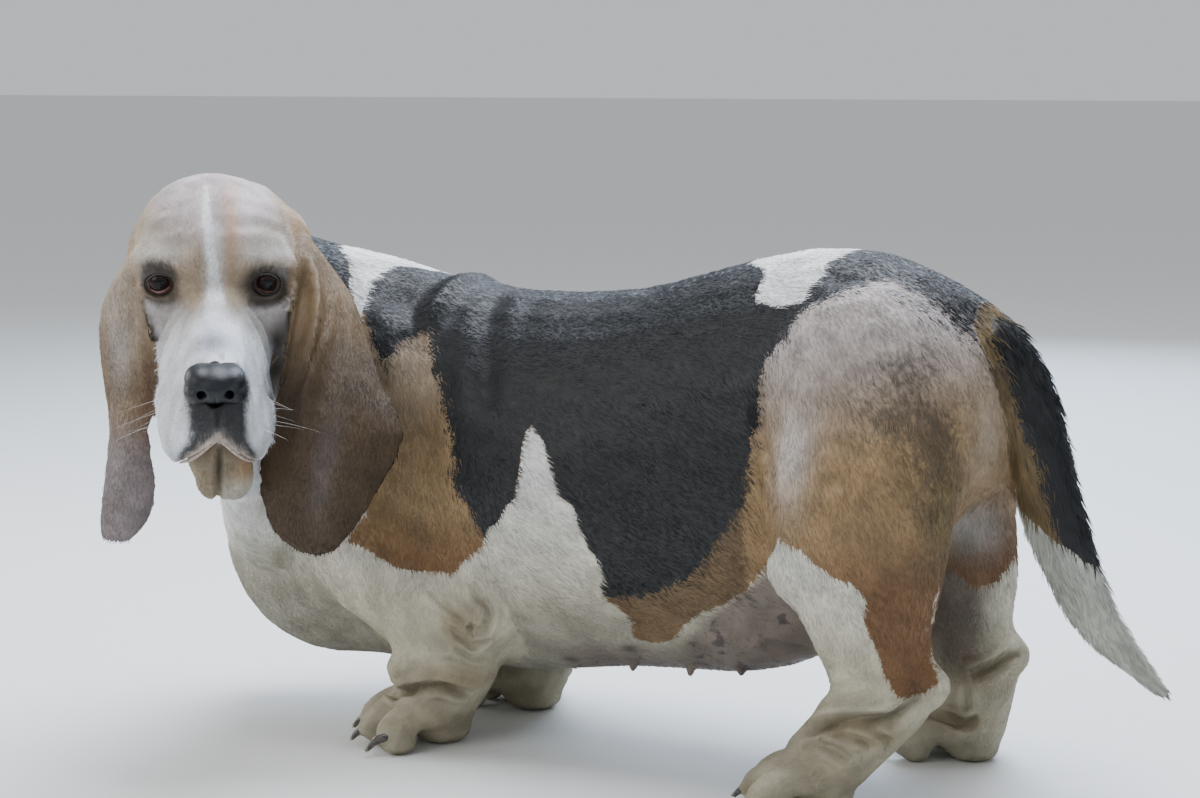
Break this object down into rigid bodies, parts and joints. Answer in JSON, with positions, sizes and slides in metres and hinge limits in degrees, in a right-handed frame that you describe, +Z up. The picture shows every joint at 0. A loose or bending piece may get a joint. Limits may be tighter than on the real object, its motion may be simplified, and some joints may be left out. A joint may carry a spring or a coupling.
{
  "type": "basset hound",
  "caption": "Life-size standing basset hound with long hanging ears, short bowed legs, a heavy low body and the head turned back over the left shoulder.",
  "frame": {"origin": "middle of the hound's bounding box, on the floor it stands on", "axes": "-X the way the trunk faces, +Y the hound's right side, +Z up; the head is turned towards -Y"},
  "size_m": [0.7876, 0.4472, 0.4455],
  "materials": {
    "coat": "short flat black and tan hair on skin",
    "pale_coat": "short flat white hair on skin",
    "nose_leather": "moist, finely pebbled black skin",
    "eye": "wet, dark brown",
    "claw_horn": "satin horn"
  },
  "bodies": {
    "root": {"torso": "coat", "neck": "coat", "head": "coat", "lower_jaw": "pale_coat", "nose": "nose_leather", "eye_left": "eye", "eye_right": "eye", "ear_left": "coat", "ear_right": "coat", "tail": "coat", "foreleg_left": "pale_coat", "foreleg_right": "pale_coat", "forepaw_left": "pale_coat", "forepaw_right": "pale_coat", "hindleg_left": "coat", "hindleg_right": "coat", "hindpaw_left": "pale_coat", "hindpaw_right": "pale_coat"}
  },
  "joints": []
}
